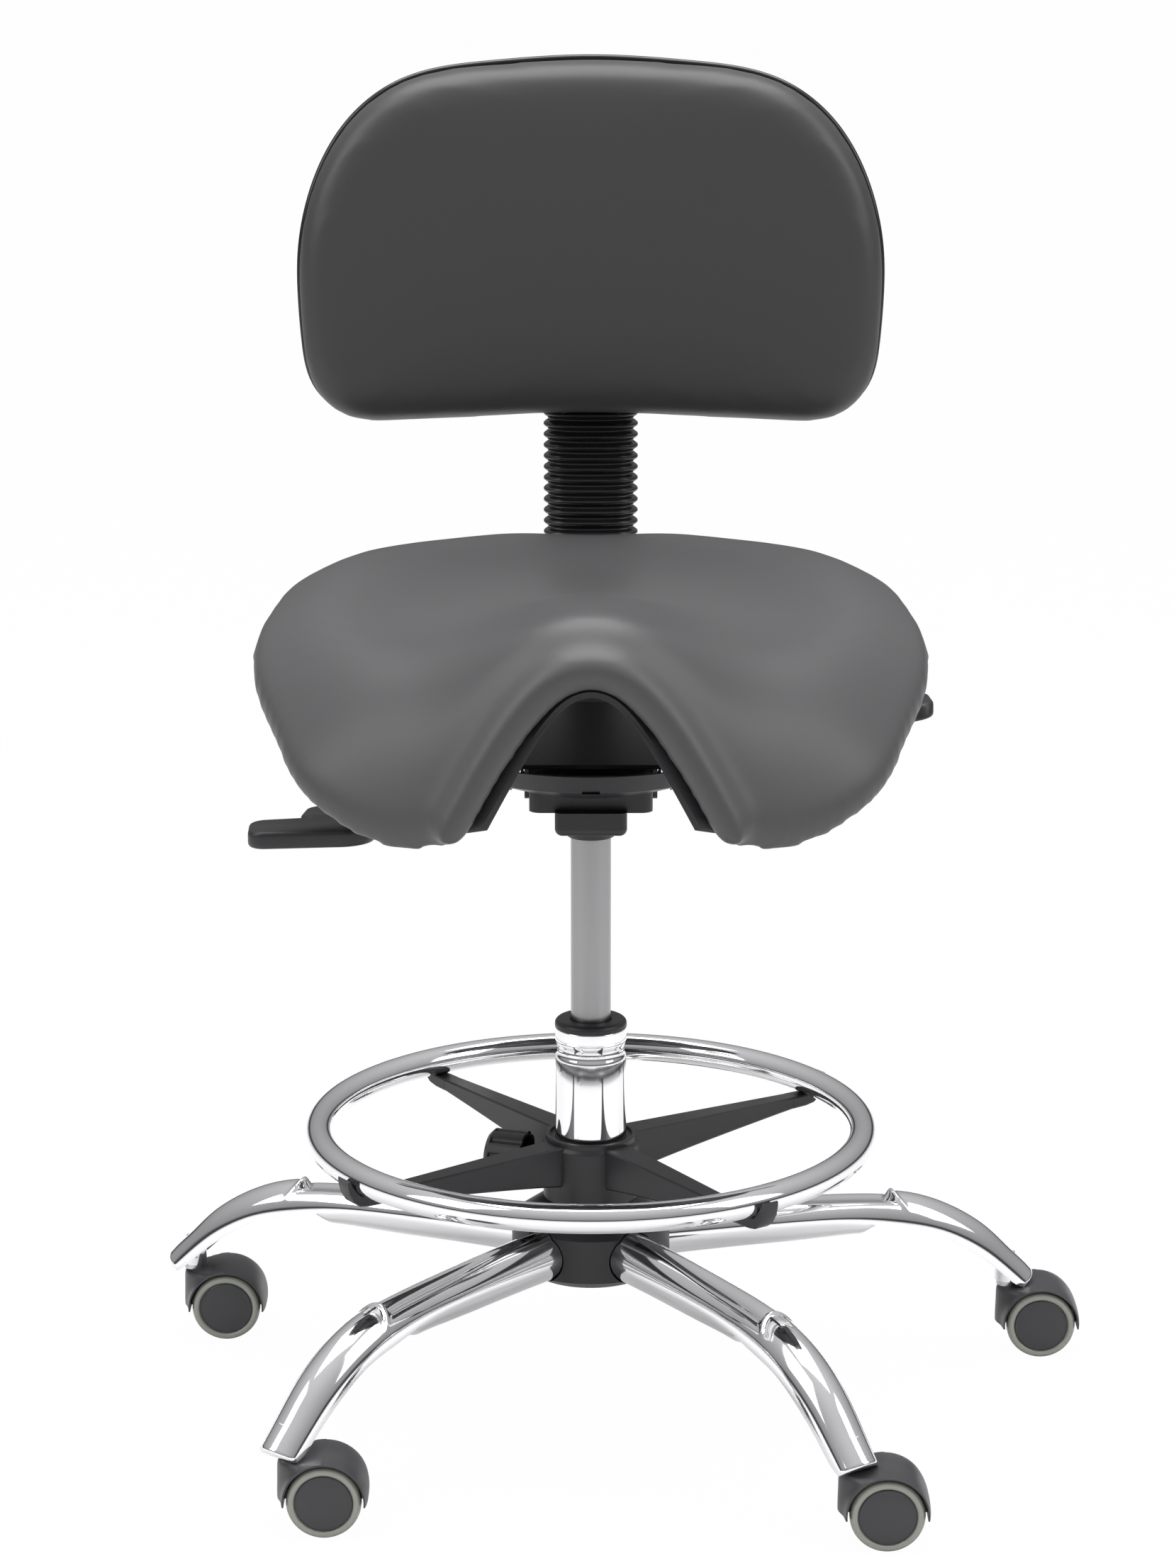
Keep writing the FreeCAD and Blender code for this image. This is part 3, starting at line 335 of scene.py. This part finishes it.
def rounded_end(ring, way, reach):
    """Rings that close an end with a half-round edge."""
    half = saddle_count // 2
    middle = (ring + ring[(half - np.arange(saddle_count)) % saddle_count]) / 2
    ends = []
    for a in (15, 30, 45, 60, 75, 86):
        part = middle + (ring - middle) * math.cos(math.radians(a))
        part[:, 1] = ring[:, 1] + way * reach * math.sin(math.radians(a))
        ends.append(part)
    return ends


rings = rounded_end(rings[0], -1, 15)[::-1] + rings + rounded_end(rings[-1], 1, 10)


def stuffed(bm, cap, inset):
    """The form after a short pressure simulation, in which the foam fills out its cover."""
    mesh = bpy.data.meshes.new("foam")
    bmesh.ops.recalc_face_normals(bm, faces=bm.faces)
    bm.to_mesh(mesh)
    bm.free()
    piece = bpy.data.objects.new("foam", mesh)
    bpy.context.collection.objects.link(piece)
    remesh = piece.modifiers.new("even", "REMESH")
    remesh.mode, remesh.voxel_size = "VOXEL", 0.005
    even = bpy.data.meshes.new_from_object(piece.evaluated_get(bpy.context.evaluated_depsgraph_get()))
    piece.modifiers.clear()
    piece.data = even
    count = len(even.vertices)
    before, normals = np.empty(count * 3, np.float32), np.empty(count * 3, np.float32)
    even.vertices.foreach_get("co", before)
    even.vertices.foreach_get("normal", normals)
    before = before.reshape(-1, 3)
    start = before - normals.reshape(-1, 3) * inset
    even.vertices.foreach_set("co", start.ravel())
    cloth = piece.modifiers.new("foam", "CLOTH")
    cloth.settings.use_pressure = True
    cloth.settings.uniform_pressure_force = 4
    cloth.settings.effector_weights.gravity = 0
    cloth.point_cache.frame_start, cloth.point_cache.frame_end = 1, 20
    for frame_number in range(1, 21):
        bpy.context.scene.frame_set(frame_number)
    filled = bpy.data.meshes.new_from_object(piece.evaluated_get(bpy.context.evaluated_depsgraph_get()))
    after = np.empty(count * 3, np.float32)
    filled.vertices.foreach_get("co", after)
    moved = after.reshape(-1, 3) - start
    length = np.maximum(np.linalg.norm(moved, axis=1), 1e-9)[:, None]
    moved *= np.minimum(1, cap / length)
    pairs = np.empty(len(even.edges) * 2, np.int32)
    even.edges.foreach_get("vertices", pairs)
    first, second = pairs[::2], pairs[1::2]
    degree = np.bincount(pairs, minlength=count)[:, None]
    for _ in range(60):
        total = np.zeros((count, 3))
        np.add.at(total, first, moved[second])
        np.add.at(total, second, moved[first])
        moved = total / degree
    filled.vertices.foreach_set("co", (start + moved).astype(np.float32).ravel())
    bpy.context.scene.frame_set(1)
    bpy.data.objects.remove(piece)
    bm = bmesh.new()
    bm.from_mesh(filled)
    for _ in range(4):
        bmesh.ops.smooth_vert(bm, verts=bm.verts, factor=0.5, use_axis_x=True, use_axis_y=True, use_axis_z=True)
    return bm


def cushion(name, bm, cap, inset, material, body, node):
    pad = add_piece(name, stuffed(bm, cap, inset), material, body, [node], 80)
    finer = pad.modifiers.new("finer", "SUBSURF")
    finer.levels = finer.render_levels = 1


seat_vinyl = plastic("seat_vinyl", (0.078, 0.078, 0.080), 0.42, 0.12, 700, 0.4)
bm = skinned([[Vector(p) * MM for p in ring] for ring in rings])
cushion("saddle_cover", bm, 0.005, -0.001, seat_vinyl, "seat", "seat_cushion")
shell_rings = along_saddle([shell_ring(row) for row in saddle_rows], -188, 178, 60)
bm = skinned([[Vector(p) * MM for p in ring] for ring in shell_rings])
add_piece("saddle_shell", bm, black_plastic, "seat", ["seat_shell"], 50)

# Castor hoods: moulded nylon, one arch over both wheels with a web between them and a nose for the stem.
def hood_outline(turn, y):
    """Distance of the hood's outside from the axle at a turn from the trailing side, y along the axle."""
    side = min(1.0, abs(y) / 22.6)
    crown = 28.9 - 1.4 * side**3
    nose = 31.5 * math.sqrt(max(0.0, 1 - (y / 23.2) ** 2))
    if math.cos(turn) >= 0 or nose < 1:
        return crown
    wall = nose / max(1e-3, -math.cos(turn))
    roof = 25.4 / max(1e-3, math.sin(turn)) if math.sin(turn) > 0 else 1e3
    block = (wall**-14 + roof**-14) ** (-1 / 14)
    return (crown**18 + block**18) ** (1 / 18)


for index in range(5):
    turn = math.radians(86.6 + 72 * index)
    centre = Vector((315 * math.cos(turn) + 24, 315 * math.sin(turn), 25))
    sections = []
    for a in np.radians(np.linspace(-5.5, 185.5, 90)):
        across = [(hood_outline(a, y), y) for y in np.linspace(-22.5, 22.5, 25)]
        across += [(26.4, 22.5), (26.4, 7.0), (9, 7.0), (9, -7.0), (26.4, -7.0), (26.4, -22.5)]
        sections.append([(centre + Vector((r * math.cos(a), y, r * math.sin(a)))) * MM for r, y in across])
    bm = skinned(sections)
    disc = Matrix.Translation(centre * MM) @ Matrix.Rotation(math.pi / 2, 4, "X")
    bmesh.ops.create_cone(bm, cap_ends=True, segments=48, radius1=0.0125, radius2=0.0125, depth=0.014, matrix=disc)
    name = "castor_%d_" % (index + 1)
    hood = add_piece(name + "cover", bm, dark_plastic, "castor_%d" % (index + 1), [name + "hood"], 40)
    edge = hood.modifiers.new("edge", "BEVEL")
    edge.width, edge.segments, edge.limit_method, edge.angle_limit = 0.0005, 2, "ANGLE", math.radians(50)

# Bellows: glossy black rubber sleeve in even ribs, which on the chair stretches when the backrest goes up; here it
# is built at one length.
gloss_rubber = plastic("bellows_rubber", (0.012, 0.012, 0.013), 0.22, 0, sheen=0.6)
rib_loops = []
for k in range(13 * 12 + 1):
    rib = k / 12
    pull = 3.4 * abs(math.cos(rib * math.pi)) ** 2.2
    height = 573 + 8 * rib
    rib_loops.append([Vector(((34.5 - pull) * math.copysign(abs(math.cos(a)) ** 0.8, math.cos(a)),
                              216 + (18 - pull) * math.copysign(abs(math.sin(a)) ** 0.8, math.sin(a)), height)) * MM
                      for a in np.linspace(0, 2 * math.pi, 97)[:-1]])
sleeve = add_piece("bellows_sleeve", skinned(rib_loops), gloss_rubber, None, ["back_bellows"], 80)
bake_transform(sleeve)

# Back pad: foam under grey vinyl with a fine grain, its edge rolled back to the piping.
back_points = [(0, 931), (72, 927), (136, 914), (170, 889), (190, 859), (202, 826), (207.5, 792), (207.5, 760),
               (205.5, 731), (197.5, 699), (176, 680), (142, 676), (86, 676.5), (0, 678.5)]


def outline(inset, count=260):
    """Evenly spaced points round the backrest, inset from its edge, as (x, z)."""
    loop = np.array(back_points + [(-x, z) for x, z in back_points[-2:0:-1]], float)
    wrapped = np.vstack([loop[-4:], loop, loop[:5]])
    keys = np.concatenate([[0], np.cumsum(np.linalg.norm(np.diff(wrapped, axis=0), axis=1))])
    curves = [spline(keys, wrapped[:, k]) for k in (0, 1)]
    edge = np.array([[curve(t) for curve in curves] for t in np.linspace(keys[4], keys[4 + len(loop)], count, endpoint=False)])
    way = np.roll(edge, -1, axis=0) - np.roll(edge, 1, axis=0)
    way /= np.linalg.norm(way, axis=1)[:, None]
    return edge + np.stack([way[:, 1], -way[:, 0]], axis=1) * inset


def back_curve(x):
    """Depth of the pad's front at x: it is bent round the sitter's back."""
    return 156 - 1000 + math.sqrt(1000**2 - x * x)


def back_skin(rim, depth, bow):
    """Rings from a rim to the middle of a face that follows the bend of the backrest."""
    loops = []
    for share in np.linspace(0.97, 0.02, 30):
        loop = []
        for p in rim:
            x, z = p.x * share, 806 + (p.z - 806) * share
            loop.append(Vector((x, back_curve(x) + depth - bow * (1 - share**2), z)))
        loops.append(loop)
    return loops


pad_loops = []
for inset, depth in [(6, 36), (1.5, 35.6), (0, 34), (-1.2, 28), (-1.6, 22), (-1, 16.5), (1, 11.5), (4.2, 7.2), (8.5, 4.0), (14, 1.8), (20, 0.6)]:
    pad_loops.append([Vector((x, back_curve(x) + depth, z)) for x, z in outline(inset)])
pad_loops += back_skin(pad_loops[-1], 0.6, 5)
back_vinyl = plastic("back_vinyl", (0.048, 0.046, 0.047), 0.42, 0.2, 1200, 0.45)
bm = skinned([[p * MM for p in loop] for loop in pad_loops])
cushion("back_pad", bm, 0.004, -0.0015, back_vinyl, "backrest", "back_cushion")

# Piping: a cord sewn in a strip of black vinyl, round the seam between pad and rear panel.
def corded(points, radius, steps=12):
    """A closed round cord through the points."""
    count = len(points)
    loops = []
    for i, p in enumerate(points):
        ahead = (points[(i + 1) % count] - points[i - 1]).normalized()
        out = ahead.cross(Vector((0, 1, 0))).normalized()
        side = out.cross(ahead)
        loops.append([(p + out * radius * math.cos(a) + side * radius * math.sin(a)) * MM
                      for a in np.linspace(0, 2 * math.pi, steps + 1)[:-1]])
    bm = skinned(loops + loops[:1], cap_start=False, cap_end=False)
    bmesh.ops.remove_doubles(bm, verts=bm.verts, dist=1e-7)
    return bm


seam = [Vector((x, back_curve(x) + 37.6, z)) for x, z in outline(0.6)]
add_piece("back_welt", corded(seam, 2.4), gloss_rubber, "backrest", ["back_piping"], 80)

# Rear panel: black moulded shell that closes the back of the pad, screwed to the guide of the bar.
panel_loops = [[Vector((x, back_curve(x) + depth, z)) for x, z in outline(inset)]
               for inset, depth in ((6, 40.4), (3, 40.4), (2.6, 41), (2.6, 43.2), (3.4, 44.5), (5, 45))]
panel_loops = back_skin(panel_loops[0], 40.4, 0)[::-1] + panel_loops + back_skin(panel_loops[-1], 45, 0)
bm = skinned([[p * MM for p in loop] for loop in panel_loops])
add_piece("back_panel", bm, black_plastic, "backrest", ["back_shell"], 50)

# Lever grips: black nylon paddles pushed on the ends of the rods, a round hub running out to a flat tip.
def grip(name, hub, tip, radius, tip_half, thickness, lean, body, node):
    along = Vector((tip.x - hub.x, tip.y - hub.y, 0))
    length = along.length
    along.normalize()
    side = Vector((-along.y, along.x, 0))
    turn = math.degrees(math.acos((radius - tip_half) / length))
    outline_points = [(radius * math.cos(a), radius * math.sin(a)) for a in np.radians(np.linspace(turn, 360 - turn, 40))]
    corner = tip_half * 0.55
    for cy, start in ((-tip_half + corner, -90), (tip_half - corner, 0)):
        outline_points += [(length - corner + corner * math.cos(a), cy + corner * math.sin(a))
                           for a in np.radians(np.linspace(start, start + 90, 10))]
    loops = []
    for height, shrink in ((-0.5, 2.2), (-0.44, 1.0), (-0.34, 0.2), (-0.2, 0), (0.2, 0), (0.34, 0.2), (0.44, 1.0), (0.5, 2.2)):
        loop = []
        for u, v in outline_points:
            scale = 1 - shrink / radius
            base = hub.lerp(tip, u / length)
            up = Vector((0, math.sin(math.radians(lean)), math.cos(math.radians(lean))))
            middle = Vector((base.x, base.y, base.z))
            loop.append((middle + side * v * scale + up * height * thickness + along * (-shrink if u > length / 2 else shrink * 0.4)) * MM)
        loops.append(loop)
    add_piece(name, skinned(loops), black_plastic, body, [node], 40)


grip("height_grip", Vector((-172, 0, 413)), Vector((-238, -2, 411)), 22, 19, 12.5, -3, "height_lever", "height_lever_grip")
grip("tilt_grip", Vector((-150, 56, 408)), Vector((-204, 64, 406)), 21, 17, 11, -3, "tilt_lever", "tilt_lever_grip")
grip("back_grip", Vector((180, 79, 474)), Vector((242, 84, 484)), 21, 18, 12, 20, "back_lever", "back_lever_grip")

# Foot ring carrier: black glass-filled nylon, a sleeve on the column with four slim arms under the ring.
carrier_profile = profile([(25.3, 147.4, 0), (33.5, 147.4, 0.8), (34, 187, 1.2), (32, 189.5, 0.8), (32, 193.4, 0.8), (29, 193.4, 0.8),
                           (29, 191, 0.5), (25.3, 191, 0)])
bm = spun(carrier_profile, 96)
for index in range(4):
    turn = Matrix.Rotation(math.radians(35.5 + 90 * index), 4, "Z")
    arm_loops = []
    for x in np.linspace(28, 178, 26):
        share = (x - 28) / 150
        top = 190.5 - 3.7 * share
        bottom = 160 + 18 * share**0.8
        half = 10.5 - 4.2 * share
        corner = 1.2
        ring = [(half, bottom + corner), (half, top - corner), (half - corner, top), (-half + corner, top), (-half, top - corner),
                (-half, bottom + corner), (-half + corner, bottom), (half - corner, bottom)]
        arm_loops.append([turn @ (Vector((x, y, z)) * MM) for y, z in ring])
    hook_line = [(178, 178, 186.8), (190, 178.3, 186.6), (197, 179.5, 187.9), (202, 183, 194), (205.5, 189, 199.5), (207, 195.5, 200.5)]
    for x, low, high in hook_line:
        half, corner = 6.4, 1.0
        ring = [(half, low + corner), (half, high - corner), (half - corner, high), (-half + corner, high), (-half, high - corner),
                (-half, low + corner), (-half + corner, low), (half - corner, low)]
        arm_loops.append([turn @ (Vector((x, y, z)) * MM) for y, z in ring])
    part = skinned(arm_loops)
    mesh = bpy.data.meshes.new("arm")
    part.to_mesh(mesh)
    part.free()
    bm.from_mesh(mesh)
    bpy.data.meshes.remove(mesh)
boss_place = Matrix.Rotation(math.radians(162), 4, "Z") @ Matrix.Translation(Vector((36, 0, 168)) * MM) @ Matrix.Rotation(math.pi / 2, 4, "Y")
bmesh.ops.create_cone(bm, cap_ends=True, segments=32, radius1=0.0095, radius2=0.0095, depth=0.012, matrix=boss_place)
carrier = add_piece("ring_carrier", bm, black_plastic, "foot_rest", ["foot_ring_spider"], 35)

# Camera: where the photo was taken from.
camera_data = bpy.data.cameras.new("camera")
camera_data.sensor_width = 36
camera_data.lens = 98.69
camera = bpy.data.objects.new("camera", camera_data)
bpy.context.collection.objects.link(camera)
camera.location = (-0.002, -2.893, 1.164)
camera.rotation_euler = (math.radians(90 - 13.92), 0, 0)
bpy.context.scene.camera = camera

# Studio: white floor and backdrop, large soft lights, and a dark strip for the chrome to mirror.
floor_mesh = bpy.data.meshes.new("floor")
bm = bmesh.new()
bmesh.ops.create_grid(bm, x_segments=1, y_segments=1, size=30)
bm.to_mesh(floor_mesh)
bm.free()
floor = bpy.data.objects.new("floor", floor_mesh)
bpy.context.collection.objects.link(floor)
paper = bpy.data.materials.new("paper")
paper.use_nodes = True
tree = paper.node_tree
tree.nodes.clear()
out = tree.nodes.new("ShaderNodeOutputMaterial")
mix = tree.nodes.new("ShaderNodeMixShader")
diffuse = tree.nodes.new("ShaderNodeBsdfDiffuse")
diffuse.inputs["Color"].default_value = (0.8, 0.8, 0.8, 1)
glow = tree.nodes.new("ShaderNodeEmission")
glow.inputs["Strength"].default_value = 1.0
path = tree.nodes.new("ShaderNodeLightPath")
share = tree.nodes.new("ShaderNodeMath")
share.operation = "MULTIPLY"
share.inputs[1].default_value = 0.98
tree.links.new(path.outputs["Is Camera Ray"], share.inputs[0])
tree.links.new(share.outputs["Value"], mix.inputs["Fac"])
tree.links.new(diffuse.outputs["BSDF"], mix.inputs[1])
tree.links.new(glow.outputs["Emission"], mix.inputs[2])
tree.links.new(mix.outputs["Shader"], out.inputs["Surface"])
floor_mesh.materials.append(paper)

world = bpy.data.worlds.new("studio")
bpy.context.scene.world = world
world.use_nodes = True
tree = world.node_tree
tree.nodes.clear()
out = tree.nodes.new("ShaderNodeOutputWorld")
back = tree.nodes.new("ShaderNodeBackground")
path = tree.nodes.new("ShaderNodeLightPath")
colour = tree.nodes.new("ShaderNodeMix")
colour.data_type = "RGBA"
colour.inputs["B"].default_value = (1, 1, 1, 1)
where = tree.nodes.new("ShaderNodeTexCoord")
parts = tree.nodes.new("ShaderNodeSeparateXYZ")
studio = tree.nodes.new("ShaderNodeValToRGB")
for k, (place, grey) in enumerate(((0.0, 0.42), (0.47, 0.36), (0.5, 0.05), (0.535, 0.05), (0.57, 0.3), (0.8, 0.5), (1.0, 0.7))):
    stop = studio.color_ramp.elements[k] if k < 2 else studio.color_ramp.elements.new(place)
    stop.position = place
    stop.color = (grey, grey, grey * 1.02, 1)
scaled = tree.nodes.new("ShaderNodeMath")
scaled.operation = "MULTIPLY_ADD"
scaled.inputs[1].default_value = 0.5
scaled.inputs[2].default_value = 0.5
tree.links.new(where.outputs["Generated"], parts.inputs["Vector"])
tree.links.new(parts.outputs["Z"], scaled.inputs[0])
tree.links.new(scaled.outputs["Value"], studio.inputs["Fac"])
tree.links.new(studio.outputs["Color"], colour.inputs["A"])
tree.links.new(path.outputs["Is Camera Ray"], colour.inputs["Factor"])
tree.links.new(colour.outputs["Result"], back.inputs["Color"])
tree.links.new(back.outputs["Background"], out.inputs["Surface"])


def soft_light(name, place, target, width, height, power):
    lamp = bpy.data.lights.new(name, "AREA")
    lamp.shape = "RECTANGLE"
    lamp.size, lamp.size_y = width, height
    lamp.energy = power
    thing = bpy.data.objects.new(name, lamp)
    bpy.context.collection.objects.link(thing)
    thing.location = place
    thing.rotation_euler = (Vector(target) - Vector(place)).to_track_quat("-Z", "Y").to_euler()


soft_light("key_left", (-2.4, -1.2, 2.4), (0, 0, 0.5), 1.6, 2.2, 34)
soft_light("fill_right", (2.4, -1.0, 2.2), (0, 0, 0.5), 1.4, 2.2, 30)
soft_light("top", (0, 0.2, 3.0), (0, 0, 0.5), 2.4, 2.0, 72)

bpy.context.scene.view_settings.view_transform = "Standard"

material_of = {
    "black_plastic": black_plastic, "dark_plastic": dark_plastic, "chrome": chrome_bright, "zinc_steel": steel,
    "grey_tread": tread_rubber, "grey_paint": lift_paint, "black_paint": black_plastic, "seat_leather": seat_vinyl,
    "back_leather": back_vinyl, "black_rubber": black_plastic}
for entry in frame["record"]["subparts"]:
    mesh = frame["nodes"][entry["node"]].data
    mesh.materials.clear()
    mesh.materials.append(material_of[entry["material_slot"]])
